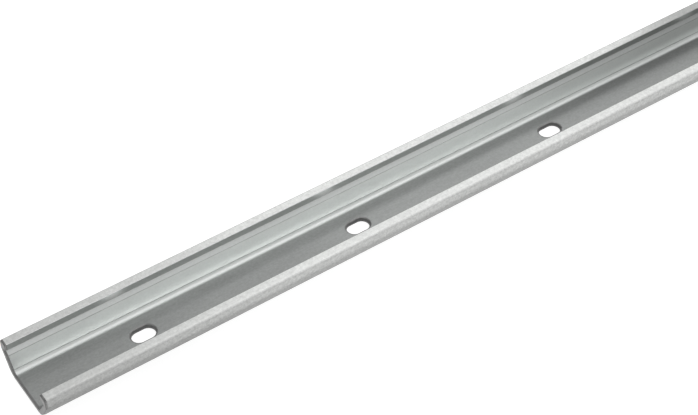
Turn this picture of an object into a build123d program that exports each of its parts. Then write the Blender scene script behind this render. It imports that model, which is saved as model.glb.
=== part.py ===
from build123d import *
import math
import os

os.makedirs("parts", exist_ok=True)

# One length of slotted aluminium track, lying on its web with the mouth up.
# X runs along the track, Y across it, Z up. Sizes in mm.

# the cut length and the row of slots in the web
stock_length = 1000.0
slot_pitch = 100.0
slot_length = 10.0
slot_width = 6.4
slot_count = round(stock_length / slot_pitch)

# the outside of the section
profile_width = 36.0
profile_height = 15.0
side_spread = 5.8       # how far each side leans out past the edge of the web
side_lean = 29.5        # the slant of the sides from the vertical, degrees
bend_outer_radius = 6.0
knee_radius = 3.0
top_corner_radius = 1.2

# the inside of the section
web_thickness = 2.0
side_thickness = 2.6    # square to the leaning side
step_height = 0.35      # the small upright step above and below each leaning face
bend_height = 1.1       # how far the inner bend rises from the web to the side
bend_slope = 45.0       # its slant where it leaves the side, degrees
bend_inner_radius = 2.2 * bend_height
lip_width = 4.1         # flat top of each side, from the outer face to the mouth
lip_depth = 3.2         # height of the upright face of each lip
lip_edge_radius = 0.3
race_height = 3.3       # the race cut back under each lip, from its foot to its roof
race_depth = 1.9        # how far it reaches outwards from its foot
race_slope = 40.0       # the slant of its floor from the horizontal, degrees
race_corner_radius = 0.25 * race_height

# what follows from those sizes
web_width = profile_width - 2 * side_spread
mouth_width = profile_width - 2 * lip_width
lean = math.radians(side_lean)
knee_height = side_spread / math.tan(lean)
race_top = profile_height - lip_depth
race_bottom = race_top - race_height
bend_top = web_thickness + bend_height


def inside_y(height):
    """Distance from the middle of the track to the inside of the leaning side."""
    return web_width / 2 + height * math.tan(lean) - side_thickness / math.cos(lean)


def climb(distance, slant):
    """How far a run with this slant rises over this distance sideways."""
    return distance * math.tan(math.radians(slant))


def half_section():
    """The right-hand half of the section, drawn from the middle outwards and back."""
    middle_low = (0, 0)
    web_corner = (web_width / 2, 0)
    knee = (profile_width / 2, knee_height)
    top_corner = (profile_width / 2, profile_height)
    lip_edge = (mouth_width / 2, profile_height)
    lip_foot = (mouth_width / 2, race_top)
    race_foot = (inside_y(race_bottom), race_bottom)
    race_wall = race_foot[0] + race_depth
    race_roof = (race_wall, race_top)
    race_floor = (race_wall, race_bottom + climb(race_depth, race_slope))
    face_top = (race_foot[0], race_bottom - step_height)
    face_bottom = (inside_y(bend_top + step_height), bend_top + step_height)
    bend_start = (face_bottom[0], bend_top)
    bend_corner = (bend_start[0] - bend_height / climb(1, bend_slope), web_thickness)
    middle_high = (0, web_thickness)

    with BuildSketch(Plane.YZ) as half:
        with BuildLine():
            Polyline(
                middle_low, web_corner, knee, top_corner, lip_edge, lip_foot,
                race_roof, race_floor, race_foot, face_top, face_bottom, bend_start,
                bend_corner, middle_high, middle_low,
            )
        make_face()
        rounded = {
            web_corner: bend_outer_radius,
            knee: knee_radius,
            top_corner: top_corner_radius,
            lip_edge: lip_edge_radius,
            race_roof: race_corner_radius,
            race_floor: race_corner_radius,
            bend_corner: bend_inner_radius,
        }
        for (y, z), radius in rounded.items():
            here = half.vertices().sort_by_distance((y, z, 0))[0]
            fillet(here, radius)
    return half.sketch


def slots():
    """The row of round-ended slots, as bodies that reach right through the web."""
    with BuildPart() as cutters:
        with BuildSketch(Plane.XY.offset(-web_thickness)):
            with GridLocations(slot_pitch, 0, slot_count, 1):
                SlotOverall(slot_length, slot_width)
        extrude(amount=3 * web_thickness)
    return cutters.part


def track():
    """The whole length of track with its slots."""
    half = half_section()
    section = half + mirror(half, about=Plane.XZ)
    bar = extrude(section, amount=stock_length / 2, dir=(1, 0, 0), both=True)
    return bar - slots()


body = track()
export_step(body, "parts/track_profile.step")

box = body.bounding_box()
print("size", box.size, "low", box.min, "high", box.max)
print("knee height", round(knee_height, 3), "volume cm3", round(body.volume / 1000, 2))
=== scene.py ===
# %% [markdown]
# # A length of slotted aluminium track
# The object is one metre of extruded aluminium track. It lies on its web with
# the open mouth up. Two sides lean outwards from the web, stand upright at
# the top and end in short lips that turn inwards. Under each lip a race is cut
# back into the side and runs the whole length, and a row of round-ended slots
# goes through the web. The imported solid comes in first, because its box
# gives the finished track its length and place; the solid is hidden at the end.

# %% Load the imported track
import math

import bpy
from mathutils import Matrix, Vector


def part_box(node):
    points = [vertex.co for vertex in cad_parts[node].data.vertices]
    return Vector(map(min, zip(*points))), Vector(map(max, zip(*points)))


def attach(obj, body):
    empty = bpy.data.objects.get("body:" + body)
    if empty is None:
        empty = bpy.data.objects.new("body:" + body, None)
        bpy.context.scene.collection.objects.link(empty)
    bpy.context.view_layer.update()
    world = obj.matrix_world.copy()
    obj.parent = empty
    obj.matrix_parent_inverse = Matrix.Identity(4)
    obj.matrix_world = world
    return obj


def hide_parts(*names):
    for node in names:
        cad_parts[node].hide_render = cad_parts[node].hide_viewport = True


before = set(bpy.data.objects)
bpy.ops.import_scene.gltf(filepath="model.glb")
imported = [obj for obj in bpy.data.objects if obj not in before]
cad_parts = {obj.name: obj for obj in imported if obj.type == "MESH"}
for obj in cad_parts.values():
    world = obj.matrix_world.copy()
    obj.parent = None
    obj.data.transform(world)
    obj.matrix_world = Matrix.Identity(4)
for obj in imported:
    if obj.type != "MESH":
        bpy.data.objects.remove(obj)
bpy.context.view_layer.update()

MM = 0.001
tolerance = 0.01 * MM
low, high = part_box("track_profile")
print("the packed track reaches from", tuple(low), "to", tuple(high))

# %% [markdown]
# ## The camera
# The picture looks down the track from above its near side at about 45
# degrees, with the sawn end at the lower left and the far end out of the
# frame. A camera can be aimed with a constraint, but a plain place and two
# angles are easier to read and to correct. The lens is long, so the track's
# edges stay almost parallel, as they do in the picture.

# %% The camera
tilt_from_straight_down = math.radians(44.354)
heading = math.radians(-34.746)
half_a_pixel = 0.5 / 698

bpy.ops.object.camera_add(
    location=(-0.62985, -0.39736, 0.50928),
    rotation=(tilt_from_straight_down, 0, heading),
)
camera = bpy.context.object
camera.name = "studio_camera"
camera.data.sensor_width = 36
camera.data.lens = 89.48
camera.data.shift_x = -half_a_pixel
camera.data.shift_y = half_a_pixel
camera.data.clip_start = 10 * MM
bpy.context.scene.camera = camera
print("camera", tuple(camera.location), "lens", camera.data.lens)

# %% [markdown]
# ## The sizes of the section
# An extrusion is one outline pushed through a die, so the outline decides
# nearly everything. Half of it is enough, because the other half is its
# mirror image. The sizes are those of the solid: first the outside, then the
# lip with the race under it, then the two small steps that frame the leaning
# face, and the bend that leads into the web.

# %% Sizes of the half section
web_width = 24.4 * MM
web_thickness = 2.0 * MM
half_width = 18.0 * MM
height = 15.0 * MM
lean = math.radians(29.5)
knee_height = (half_width - web_width / 2) / math.tan(lean)
side_thickness = 2.6 * MM
outer_bend_radius = 6.0 * MM
knee_radius = 3.0 * MM
top_corner_radius = 1.2 * MM

lip_edge_y = 13.9 * MM
lip_edge_radius = 0.3 * MM
race_top = 11.8 * MM
race_bottom = 8.5 * MM
race_depth = 1.9 * MM
race_slope = math.radians(40)
race_corner_radius = 0.825 * MM

step_height = 0.35 * MM
bend_top = 3.1 * MM
bend_slope = math.radians(45)
bend_inner_radius = 2.42 * MM
print("knee height", round(knee_height / MM, 3), "mm")

# %% [markdown]
# ## The corners of the section
# Each corner is given by where its two straight runs would meet, with the
# radius that rounds it, or 0 for a sharp one. The list starts at the outer
# bend and ends in the middle of the web's upper face.


# %% Corners of the half section
def inside_y(z):
    """Distance from the middle of the track to the inside of the leaning side."""
    return web_width / 2 + z * math.tan(lean) - side_thickness / math.cos(lean)


race_foot_y = inside_y(race_bottom)
race_wall_y = race_foot_y + race_depth
race_floor = race_bottom + race_depth * math.tan(race_slope)
bend_y = inside_y(bend_top + step_height)
bend_corner_y = bend_y - (bend_top - web_thickness) / math.tan(bend_slope)
middle = (0.0, web_thickness)
corners = [
    ((web_width / 2, 0.0), outer_bend_radius),
    ((half_width, knee_height), knee_radius),
    ((half_width, height), top_corner_radius),
    ((lip_edge_y, height), lip_edge_radius),
    ((lip_edge_y, race_top), 0.0),
    ((race_wall_y, race_top), race_corner_radius),
    ((race_wall_y, race_floor), race_corner_radius),
    ((race_foot_y, race_bottom), 0.0),
    ((race_foot_y, race_bottom - step_height), 0.0),
    ((bend_y, bend_top + step_height), 0.0),
    ((bend_y, bend_top), 0.0),
    ((bend_corner_y, web_thickness), bend_inner_radius),
    (middle, 0.0),
]
print("corners:", len(corners), "| the race reaches out to", round(race_wall_y / MM, 2), "mm")

# %% [markdown]
# ## Drawing with one vertex
# The outline could be typed in as a list of points. Drawing it with a single
# vertex is closer to how a section is drafted: a straight run is an extruded
# vertex, and a rounded corner is the same vertex spun about the centre of the
# round. Each helper leaves the last vertex selected, so the next run starts
# where the last one ended.


# %% A pen made of one vertex
def unselect_everything():
    """Leave edit mode and select nothing, so that an operator has one target."""
    if bpy.context.object and bpy.context.object.mode != "OBJECT":
        bpy.ops.object.mode_set(mode="OBJECT")
    bpy.ops.object.select_all(action="DESELECT")


def pen_down(name, x, y, z):
    """A new mesh of one vertex, in edit mode."""
    unselect_everything()
    bpy.ops.mesh.primitive_plane_add(size=MM)
    piece = bpy.context.object
    piece.name = piece.data.name = name
    bpy.ops.object.mode_set(mode="EDIT")
    bpy.ops.mesh.select_mode(type="VERT")
    bpy.ops.mesh.select_all(action="SELECT")
    bpy.ops.mesh.merge(type="CENTER")
    bpy.ops.transform.translate(value=(x, y, z))
    return Vector((y, z))


def straight_to(here, there):
    """Extrude the selected vertex to a new place."""
    step = Vector(there) - here
    bpy.ops.mesh.extrude_vertices_move(
        TRANSFORM_OT_translate={"value": (0, step.x, step.y)}
    )
    return Vector(there)


def round_about(here, centre, angle, x, degrees_per_step=6):
    """Spin the selected vertex about a centre; a positive angle turns left, which
    the spin operator calls negative."""
    steps = max(3, round(abs(math.degrees(angle)) / degrees_per_step))
    bpy.ops.mesh.spin(
        steps=steps, angle=-angle, center=(x, centre[0], centre[1]), axis=(1, 0, 0)
    )
    spoke = Matrix.Rotation(angle, 2) @ (here - Vector(centre))
    return Vector(centre) + spoke


def rounded_corner(here, corner, there, radius, x):
    """Run straight towards a corner and spin round it, ready to leave for there."""
    corner, there = Vector(corner), Vector(there)
    arrive, leave = (corner - here).normalized(), (there - corner).normalized()
    turn = arrive.angle_signed(leave) * -1
    tangent_length = radius * math.tan(abs(turn) / 2)
    side = 1 if turn > 0 else -1
    start = corner - arrive * tangent_length
    centre = start + Vector((-arrive.y, arrive.x)) * radius * side
    here = straight_to(here, start)
    return round_about(here, centre, turn, x)


# %% [markdown]
# ## Half of the section
# The pen starts in the middle of the underside, goes round the outer bend,
# the knee and the top corner to the mouth, drops down the upright face of the
# lip, goes out into the race and back along its floor, and comes down the
# leaning face and over the inner bend to the middle. The line stays open
# where the mirror image will join it.

# %% Draw the half section
end_x = low.x
pen = pen_down("slotted_track", end_x, 0, 0)
for (corner, radius), (following, _) in zip(corners, corners[1:]):
    if radius > 0:
        pen = rounded_corner(pen, corner, following, radius, end_x)
    else:
        pen = straight_to(pen, corner)
pen = straight_to(pen, middle)

bpy.ops.object.mode_set(mode="OBJECT")
track = bpy.context.object
print("half section:", len(track.data.vertices), "points")

# %% [markdown]
# ## Working on one piece
# Three things are done again and again: a modifier is added and applied, a
# piece is opened in edit mode, and some of its vertices or faces are picked
# out by their place or direction. A helper for each keeps the steps short.


# %% Helpers for modifiers, edit mode and selection
def apply(piece, kind, **settings):
    """Add a modifier, set it up and apply it at once."""
    unselect_everything()
    piece.select_set(True)
    bpy.context.view_layer.objects.active = piece
    modifier = piece.modifiers.new(kind.lower(), kind)
    for name, value in settings.items():
        setattr(modifier, name, value)
    bpy.ops.object.modifier_apply(modifier=modifier.name)


def edit(piece, select="SELECT"):
    """Go into edit mode on one piece, with everything or nothing selected."""
    unselect_everything()
    piece.select_set(True)
    bpy.context.view_layer.objects.active = piece
    bpy.ops.object.mode_set(mode="EDIT")
    bpy.ops.mesh.select_mode(type="VERT")
    bpy.ops.mesh.select_all(action=select)


def select_where(piece, kind, wanted):
    """Select each VERT or FACE that is wanted, stay in edit mode, and count them."""
    edit(piece, "DESELECT")
    bpy.ops.mesh.select_mode(type=kind)
    bpy.ops.object.mode_set(mode="OBJECT")
    parts = piece.data.vertices if kind == "VERT" else piece.data.polygons
    for part in parts:
        part.select = wanted(part)
    count = sum(part.select for part in parts)
    bpy.ops.object.mode_set(mode="EDIT")
    return count


# %% [markdown]
# ## One pitch of track
# The slots repeat every 100 mm, so one pitch is modelled in full and then
# repeated. The outline is extruded along the track, mirrored across the
# middle and closed at both ends, because a clean cut needs a closed body.

# %% Extrude, mirror and close one pitch
slot_pitch = 100.0 * MM
weld = 0.001 * MM

edit(track)
bpy.ops.mesh.extrude_region_move(TRANSFORM_OT_translate={"value": (slot_pitch, 0, 0)})
apply(track, "MIRROR", use_axis=(False, True, False), merge_threshold=weld)
edit(track)
bpy.ops.mesh.remove_doubles(threshold=weld)
bpy.ops.mesh.fill_holes(sides=0)
bpy.ops.mesh.select_all(action="SELECT")
bpy.ops.mesh.normals_make_consistent(inside=False)
bpy.ops.object.mode_set(mode="OBJECT")
print("one pitch:", len(track.data.polygons), "faces")

# %% [markdown]
# ## The slot
# The slot is milled or punched through the web after extrusion. Its shape is
# a cylinder pulled apart in the middle: two half rounds with straight sides
# between them. A boolean takes it out of the web in one cut.

# %% Cut the slot
slot_length = 10.0 * MM
slot_width = 6.4 * MM
slot_sides = 56
straight_half = (slot_length - slot_width) / 2
slot_x = end_x + slot_pitch / 2

unselect_everything()
bpy.ops.mesh.primitive_cylinder_add(
    vertices=slot_sides,
    radius=slot_width / 2 / math.cos(math.pi / slot_sides),
    depth=4 * web_thickness,
    location=(slot_x, 0, web_thickness / 2),
    rotation=(0, 0, math.pi / slot_sides),
)
cutter = bpy.context.object
cutter.name = "slot_cutter"
bpy.ops.object.transform_apply(location=True, rotation=True, scale=True)
for side in (-1, 1):
    select_where(cutter, "VERT", lambda vertex: side * (vertex.co.x - slot_x) > 0)
    bpy.ops.transform.translate(value=(side * straight_half, 0, 0))
unselect_everything()
apply(track, "BOOLEAN", operation="DIFFERENCE", object=cutter, solver="EXACT")
bpy.data.objects.remove(cutter)
print("after the cut:", len(track.data.polygons), "faces")

# %% [markdown]
# ## The countersunk rim
# The picture shows a dark crescent on the far side of each slot. It is taken
# for a narrow countersunk rim, such as a deburring tool leaves. The vertices
# of the slot's upper edge are found by their height and their distance from
# the slot's middle line, and the edges between them are bevelled once, before
# the pitch is repeated.

# %% Countersink the slot
rim_width = 0.8 * MM


def on_rim(vertex):
    """Whether a vertex is on the slot's upper edge."""
    past_the_straight = max(abs(vertex.co.x - slot_x) - straight_half, 0)
    from_slot_middle = math.hypot(past_the_straight, vertex.co.y)
    at_the_top = abs(vertex.co.z - web_thickness) < tolerance
    return at_the_top and from_slot_middle < slot_width / 2 + 10 * tolerance


on_edge = select_where(track, "VERT", on_rim)
bpy.ops.mesh.bevel(offset=rim_width, segments=2, affect="EDGES", clamp_overlap=False)
bpy.ops.object.mode_set(mode="OBJECT")
print("rim:", on_edge, "vertices bevelled | faces now:", len(track.data.polygons))

# %% [markdown]
# ## Ten pitches
# The two closing faces of the single pitch come off again, or they would stay
# as walls inside the track. An array then repeats the pitch and welds the
# seams. Both ends of the whole length stay open for now.

# %% Repeat the pitch
slot_count = round((high.x - low.x) / slot_pitch)


def closes_the_pitch(face):
    """Whether a face is one of the two flat ends of the single pitch."""
    from_end = abs(abs(face.center.x - slot_x) - slot_pitch / 2)
    return abs(face.normal.x) > 0.99 and from_end < tolerance


closing = select_where(track, "FACE", closes_the_pitch)
bpy.ops.mesh.delete(type="ONLY_FACE")
apply(
    track, "ARRAY", count=slot_count, use_relative_offset=False,
    use_constant_offset=True, constant_offset_displace=(slot_pitch, 0, 0),
    use_merge_vertices=True, merge_threshold=5 * weld,
)
print("closing faces taken off:", closing, "| faces now:", len(track.data.polygons))

# %% [markdown]
# ## Softened edges
# No real edge is perfectly sharp: the die leaves a small radius along the
# length, and slots are deburred. A narrow bevel on every sharp edge catches
# the light as a thin line, which is what the eye reads as metal. It goes on
# while the ends are still open, because they get a rim of their own.

# %% Bevel the sharp edges
soft_edge_width = 0.18 * MM
sharp_angle = math.radians(35)

apply(
    track, "BEVEL", width=soft_edge_width, segments=2, limit_method="ANGLE",
    angle_limit=sharp_angle, use_clamp_overlap=False,
)
print("with softened edges:", len(track.data.polygons), "faces")

# %% [markdown]
# ## The sawn ends
# After the saw, a file takes the burr off all round the cut, more along the
# track than into it. The open ends are first pulled in by the length of that
# filed rim and closed. They are set to an exact place rather than moved by a
# distance, which also clears the rounding that ten repeats add up. Insetting
# the closing face and pushing it back out to the cut then leaves the rim as a
# slope around it.

# %% Close the ends with a filed rim
filed_length = 0.9 * MM
filed_depth = 0.2 * MM

for vertex in track.data.vertices:
    if abs(vertex.co.x) > high.x - 10 * tolerance:
        vertex.co.x = math.copysign(high.x - filed_length, vertex.co.x)
edit(track)
bpy.ops.mesh.fill_holes(sides=0)
bpy.ops.mesh.select_all(action="SELECT")
bpy.ops.mesh.normals_make_consistent(inside=False)
ends = select_where(
    track, "FACE", lambda face: abs(face.normal.x) > 0.99
    and abs(face.center.x) > high.x - filed_length - tolerance,
)
bpy.ops.mesh.inset(thickness=filed_depth, depth=filed_length, use_even_offset=True)
bpy.ops.object.mode_set(mode="OBJECT")
print("ends closed:", ends, "| faces now:", len(track.data.polygons))

# %% [markdown]
# ## Smooth shading
# The faces are shaded smooth, and weighted normals then keep the wide faces
# flat right up to the narrow bevels, so a flat face mirrors like a flat face.

# %% Shade the track
edit(track)
bpy.ops.mesh.normals_make_consistent(inside=False)
unselect_everything()
track.select_set(True)
bpy.context.view_layer.objects.active = track
bpy.ops.object.shade_smooth()
apply(track, "WEIGHTED_NORMAL", keep_sharp=True, weight=100)
print("finished track:", len(track.data.polygons), "faces")

# %% [markdown]
# ## Shader maths that reads like maths
# A finish is mostly arithmetic on masks, which are numbers from 0 to 1 that
# say where something is. Wrapping a socket in a small class lets an
# expression such as `0.3 + 0.1 * grain` add the Math nodes itself.


# %% Sockets as values
class Wire:
    """One output socket; arithmetic on it adds Math nodes to its finish."""

    def __init__(self, finish, socket):
        self.finish, self.socket = finish, socket

    def maths(self, operation, first, second):
        return self.finish.node(
            "ShaderNodeMath", {"operation": operation}, {0: first, 1: second}
        )

    def __add__(self, other):
        return self.maths("ADD", self, other)

    __radd__ = __add__

    def __sub__(self, other):
        return self.maths("SUBTRACT", self, other)

    def __rsub__(self, other):
        return self.maths("SUBTRACT", other, self)

    def __mul__(self, other):
        return self.maths("MULTIPLY", self, other)

    __rmul__ = __mul__

    def size(self):
        """The value without its sign."""
        return self.maths("ABSOLUTE", self, 0.0)


# %% [markdown]
# ## A finish under construction
# Every finish of this track is bare metal, so one class holds what they
# share: a way to add any node, the place of a point on the track, noise
# stretched along it, and soft steps from 0 to 1. Object coordinates are in
# metres, so every mask is a real place on the section.


# %% Finishes
class Finish:
    """A material under construction."""

    def __init__(self, name, tint=(1, 1, 1)):
        self.tint = tint
        self.material = bpy.data.materials.new(name)
        self.material.use_nodes = True
        self.tree = self.material.node_tree
        self.tree.nodes.clear()
        self.place = self.node("ShaderNodeTexCoord", output="Object")

    def node(self, kind, settings=None, inputs=None, output=0):
        """Add a node: its settings first, then the values and links it takes."""
        made = self.tree.nodes.new(kind)
        for name, value in (settings or {}).items():
            setattr(made, name, value)
        for name, value in (inputs or {}).items():
            socket = made.inputs[name]
            if isinstance(value, Wire):
                self.tree.links.new(value.socket, socket)
            else:
                socket.default_value = value
        return Wire(self, made.outputs[output]) if len(made.outputs) else None

    def position(self, axis):
        """The X, Y or Z of the point on the object, in metres."""
        return self.node("ShaderNodeSeparateXYZ", {}, {0: self.place}, output=axis)

    def noise(self, waves, detail=2.0, roughness=0.5):
        """Noise from 0 to 1, with its waves per metre along X, Y and Z."""
        stretched = self.node(
            "ShaderNodeMapping", {"vector_type": "POINT"},
            {"Vector": self.place, "Scale": waves},
        )
        return self.node(
            "ShaderNodeTexNoise", {"noise_dimensions": "3D"},
            {"Vector": stretched, "Scale": 1.0, "Detail": detail, "Roughness": roughness},
        )

    def above(self, value, start, end):
        """0 below start, 1 above end, and a smooth step between."""
        return self.node(
            "ShaderNodeMapRange", {"interpolation_type": "SMOOTHSTEP"},
            {"Value": value, "From Min": start, "From Max": end},
        )

    def grey(self, brightness):
        """The grey of bare aluminium with this finish's tint, lighter or darker."""
        return self.node(
            "ShaderNodeVectorMath", {"operation": "SCALE"},
            {0: self.tint, "Scale": brightness},
        )

    def bump(self, height, depth):
        """Dents and scratches with a real depth in metres."""
        return self.node("ShaderNodeBump", {}, {"Height": height, "Distance": depth})

    def metal(self, brightness, roughness, normal):
        """Close the finish with bare metal of this brightness and roughness."""
        shader = self.node(
            "ShaderNodeBsdfPrincipled", {},
            {"Base Color": self.grey(brightness), "Roughness": roughness,
             "Metallic": 1.0, "Normal": normal},
        )
        self.node("ShaderNodeOutputMaterial", {}, {"Surface": shader})
        print(self.material.name, "has", len(self.tree.nodes), "nodes")
        return self.material


# %% [markdown]
# ## Painted shade on the far side
# Part way along the track a stretch of the far side is painted darker, as
# painted shade. Its edge is made to wander, so noise is added to the
# distance along the track before the soft steps are taken. The inside and
# the lips share the stretch, and each says where along the track it sets in.


# %% Painted shade on the far side
def far_side_shade(finish, start, end):
    """1 in the stretch of painted shade, which sets in between start and end along
    the track and fades out again over 100 mm."""
    widest_wander = 25 * MM
    wander = 2 * widest_wander * finish.noise((12, 90, 90), detail=3) - widest_wander
    along = finish.position("X") + wander
    fades = 1 - finish.above(along, end + 60 * MM, end + 160 * MM)
    far_side = finish.above(finish.position("Y") + 0.06 * wander, -2 * MM, 6 * MM)
    return finish.above(along, start, end) * fades * far_side


# %% [markdown]
# ## The faces inside the channel
# In the picture the leaning faces are bright and the web is the darkest face,
# probably because of what each of them mirrors. The lights of this scene
# don't bring that out by themselves, so the base colours paint much of it as
# painted reflections: the leaning faces, the race, the lip's upright face and
# the bends are lighter, the web is far darker, and a painted highlight runs
# along the top of each lip's inner face.
# The web's base colour is far darker than real aluminium, and under other
# lights the web will look too dark. Masks from the height and the distance
# from the middle tell the faces apart. A dark patch in the near corner of the
# sawn end is painted shade in the recess under the near lip, and both ends
# have it.

# %% Masks for the faces inside
inside = Finish("drawn_aluminium", tint=(0.98, 1.007, 0.99))
from_middle = inside.position("Y").size()
from_floor = inside.position("Z")
on_web = 1 - inside.above(from_middle, 8.4 * MM, 9.6 * MM)
in_bend = 1 - inside.above(from_floor, bend_top - 0.2 * MM, bend_top)
above_bend = inside.above(from_floor, bend_top, bend_top + step_height)
above_face = inside.above(from_floor, race_bottom - step_height, race_bottom)
on_leaning_face = above_bend * (1 - above_face)
in_race = inside.above(from_floor, race_bottom - 0.1 * MM, race_bottom + 0.2 * MM)
on_lip_face = inside.above(from_floor, race_top - 0.1 * MM, race_top + 0.1 * MM)
on_lip_edge = inside.above(from_floor, height - 0.5 * MM, height - 0.25 * MM)
high_up = inside.above(from_floor, bend_top, bend_top + 3 * MM)
# Painted shade in the near inside corner at each sawn end, under the near lip.
near_corner = 1 - inside.above(inside.position("Y"), -9.2 * MM, -8.2 * MM)
painted_corner_shade = near_corner * inside.above(inside.position("X").size(), 491 * MM, 496 * MM)
print("inside: masks on", len(inside.tree.nodes), "nodes")

# %% [markdown]
# ## The inside of the channel
# The metal inside slid over the polished die, so it is fairly smooth, with
# faint lines along the length where the die was scored. Cloudy patches and a
# fine grit lie over them. Noise stretched along X makes the lines. The web is
# made a little rougher than the leaning faces, and the bends much rougher,
# which widens their highlight to about what the picture shows.

# %% Finish of the inside
die_lines = inside.noise((5, 2400, 2400), detail=3)
film = inside.noise((14, 70, 90), detail=4, roughness=0.6)
grit = inside.noise((900, 1200, 1200), detail=2)

# Painted reflections and a painted highlight: lighter on the leaning faces, the race, the lip
# face, the top of the lip's inner face and the bends, far darker on the web.
painted_reflections = (
    0.45 + 0.32 * on_leaning_face + 0.14 * in_race + 0.12 * on_lip_face
    + 0.30 * on_lip_edge + 0.18 * in_bend - 0.445 * on_web
)
# Painted shade on a stretch of the far side, deeper higher up.
painted_far_shade = (0.18 + 0.30 * high_up) * far_side_shade(inside, -290 * MM, -160 * MM)
drawn_aluminium = inside.metal(
    (painted_reflections + 0.04 * die_lines + 0.10 * film + 0.10 * grit)
    * (1 - painted_far_shade) * (1 - 0.7 * painted_corner_shade),
    0.24 + in_bend * (0.26 - 0.14 * on_web) + 0.04 * die_lines + 0.06 * film,
    inside.bump(0.5 * die_lines + 0.5 * grit, 0.004 * MM),
)

# %% [markdown]
# ## The outside
# The outside and the tops of the lips look matt, with a coarse speckle and
# faint rubbed streaks. The same recipe serves, with a rougher surface and
# deeper bumps. The tops of the lips are painted lighter and the lower part of
# the sides darker, as painted light and shade, and the two ends are painted
# darker as painted shade. The lower part of the sides is duller than the tops of the
# lips, and so are the two ends, perhaps from handling.

# %% Finish of the outside
outside = Finish("matt_aluminium", tint=(0.995, 1.005, 0.99))
speckle = outside.noise((900, 900, 900), detail=4, roughness=0.7)
streaks = outside.noise((60, 1500, 1500), detail=3)
cloud = outside.noise((25, 110, 110), detail=3)
from_table = outside.position("Z")
on_lip_top = outside.above(from_table, height - 0.9 * MM, height - 0.2 * MM)
low_down = 1 - outside.above(from_table, 9.0 * MM, 12.5 * MM)
painted_end_shade = outside.above(outside.position("X").size(), 370 * MM, 500 * MM)

# Painted light and shade: the lip tops lighter, the lower sides darker, the two ends darker,
# and the painted shade on the far side.
matt_aluminium = outside.metal(
    (0.20 + 0.23 * on_lip_top - 0.20 * low_down
     + 0.52 * speckle + 0.08 * streaks + 0.10 * cloud)
    * (1 - 0.35 * far_side_shade(outside, -215 * MM, -165 * MM)) * (1 - 0.2 * painted_end_shade),
    0.52 + 0.10 * speckle + 0.08 * cloud,
    outside.bump(0.6 * speckle + 0.4 * streaks, 0.06 * MM),
)

# %% [markdown]
# ## Sawn and filed metal
# A saw leaves short marks up and down the cut, and the file that takes off the
# burr leaves a rough rim. Both are rough, and their base colour is painted far
# darker than the drawn faces beside them, as painted shade. The slots get the
# same finish, with darker walls and a lighter countersunk rim.

# %% Finish of the sawn ends, the filed rims and the slots
sawn = Finish("sawn_aluminium", tint=(1.0, 1.0, 0.99))
saw_marks = sawn.noise((1500, 350, 2600), detail=3)
chatter = sawn.noise((700, 700, 700), detail=4, roughness=0.65)
at_an_end = sawn.above(sawn.position("X").size(), 490 * MM, 495 * MM)
up_the_rim = sawn.above(sawn.position("Z"), web_thickness - rim_width, web_thickness)
countersunk = up_the_rim * (1 - at_an_end)

# Painted shade: the base colour of the cut faces is far darker than bare aluminium.
sawn_aluminium = sawn.metal(
    (0.45 + 0.55 * at_an_end + 0.55 * countersunk)
    * (0.08 + 0.14 * saw_marks + 0.18 * chatter),
    0.42 + 0.15 * saw_marks,
    sawn.bump(0.5 * saw_marks + 0.5 * chatter, 0.05 * MM),
)

# %% [markdown]
# ## Which face has which finish
# The section is simple enough to sort its faces by place and direction: what
# lies at an end or in a slot is cut metal, what faces away from the middle,
# up from a lip or down to the table is outside, and the rest is the inside.

# %% Put the finishes on the faces
INSIDE, OUTSIDE, CUT = range(3)


def finish_of(face):
    """Which of the three finishes a face has."""
    centre, normal = face.center, face.normal
    in_slot = (
        abs(centre.y) < slot_width / 2 + rim_width
        and centre.z < web_thickness and abs(normal.z) < 0.95
    )
    if in_slot or abs(centre.x) > high.x - filed_length:
        return CUT
    faces_away = normal.y * math.copysign(1, centre.y) > 0.05
    on_a_lip = centre.z > height - 0.05 * MM
    underneath = centre.z < 0.5 * MM and normal.z < 0
    return OUTSIDE if faces_away or on_a_lip or underneath else INSIDE


for finish in (drawn_aluminium, matt_aluminium, sawn_aluminium):
    track.data.materials.append(finish)
for face in track.data.polygons:
    face.material_index = finish_of(face)

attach(track, "root")
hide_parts("track_profile")
print("faces inside, outside and cut:", [
    sum(face.material_index == index for face in track.data.polygons)
    for index in (INSIDE, OUTSIDE, CUT)
])

# %% [markdown]
# ## The table
# The picture shows the track on pure white with no shadow. A sheet of white
# acrylic lit from below does that: it gives most of its light itself, so the
# contact shadow stays faint. It lies a hair below the track, so that the two
# faces don't share one place.

# %% White table
unselect_everything()
bpy.ops.mesh.primitive_plane_add(size=14, location=(0, 0, -0.2 * MM))
table = bpy.context.object
table.name = "white_table"
acrylic = Finish("lit_white_acrylic")
shader = acrylic.node(
    "ShaderNodeBsdfPrincipled", {},
    {"Base Color": (0.3, 0.3, 0.3, 1), "Roughness": 0.8,
     "Emission Color": (1, 1, 1, 1), "Emission Strength": 0.87},
)
acrylic.node("ShaderNodeOutputMaterial", {}, {"Surface": shader})
table.data.materials.append(acrylic.material)
print("table at", table.location.z / MM, "mm")

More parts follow.
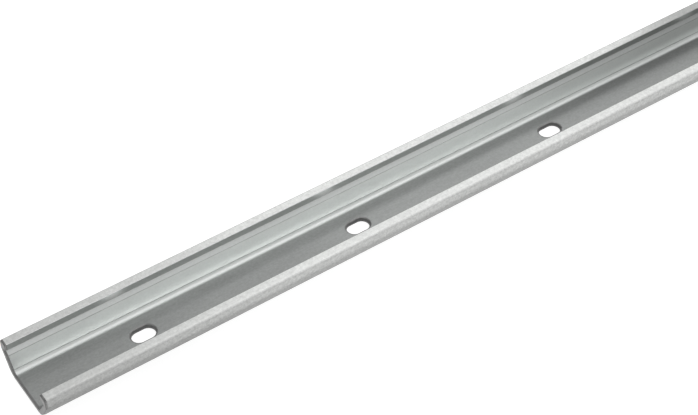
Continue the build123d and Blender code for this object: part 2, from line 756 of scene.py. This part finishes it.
# %% [markdown]
# ## The lights
# Bare metal shows its surroundings, and most of the light here comes from
# the white room and the table. Three soft boxes stand at the same distance
# from the track, each at an angle counted from the near side over the top.
# The overhead box does most of what they do: it faces the track and
# brightens the lips, the leaning faces and the web.
#
# The other two boxes are turned the wrong way, and that is a mistake. To face
# the track, a box has to be turned by 90 degrees less its angle, and here the
# sign is the other way round. The front box is edge-on to the track and adds
# next to nothing. The rear box is nearly edge-on and adds a little, mostly on
# the web. The mistake was found after the finishes had been matched to the
# picture under these lights. With the boxes turned to face the track the
# picture comes out far too bright, so the finishes would have to be matched
# again with them. Whoever reuses this scene should do that first.


# %% Soft boxes
def soft_box(name, angle, spread, x_range, brightness, distance=1.6):
    """A flat soft light on an arc over the track. Only one near 90 degrees faces the
    track, and it then fills the given spread of angles; the others tilt away."""
    over, half = math.radians(angle), math.radians(spread / 2)
    bpy.ops.object.light_add(
        type="AREA",
        location=(sum(x_range) / 2, -distance * math.cos(over), distance * math.sin(over)),
        rotation=(over - math.pi / 2, 0, 0),
    )
    light = bpy.context.object
    light.name = name
    light.data.shape = "RECTANGLE"
    light.data.size = x_range[1] - x_range[0]
    light.data.size_y = 2 * distance * math.tan(half)
    light.data.energy = math.pi * light.data.size * light.data.size_y * brightness
    print(name, "gives", round(light.data.energy, 2), "W")


soft_box("front_soft_box", angle=45, spread=40, x_range=(-0.2, 0.60), brightness=4.5)
soft_box("overhead_soft_box", angle=95, spread=40, x_range=(-0.1, 0.5), brightness=2.8)
soft_box("rear_soft_box", angle=130, spread=40, x_range=(0.2, 0.82), brightness=2.4)

# %% [markdown]
# ## The room
# The plain view transform keeps white white, as in a catalogue picture. The
# room is evenly white and a little dimmer than the table.

# %% White room
scene = bpy.context.scene
scene.view_settings.view_transform = "Standard"
scene.world = bpy.data.worlds.new("white_studio")
scene.world.use_nodes = True
background = scene.world.node_tree.nodes["Background"]
background.inputs["Color"].default_value = (1, 1, 1, 1)
background.inputs["Strength"].default_value = 0.7
print("room strength", background.inputs["Strength"].default_value)
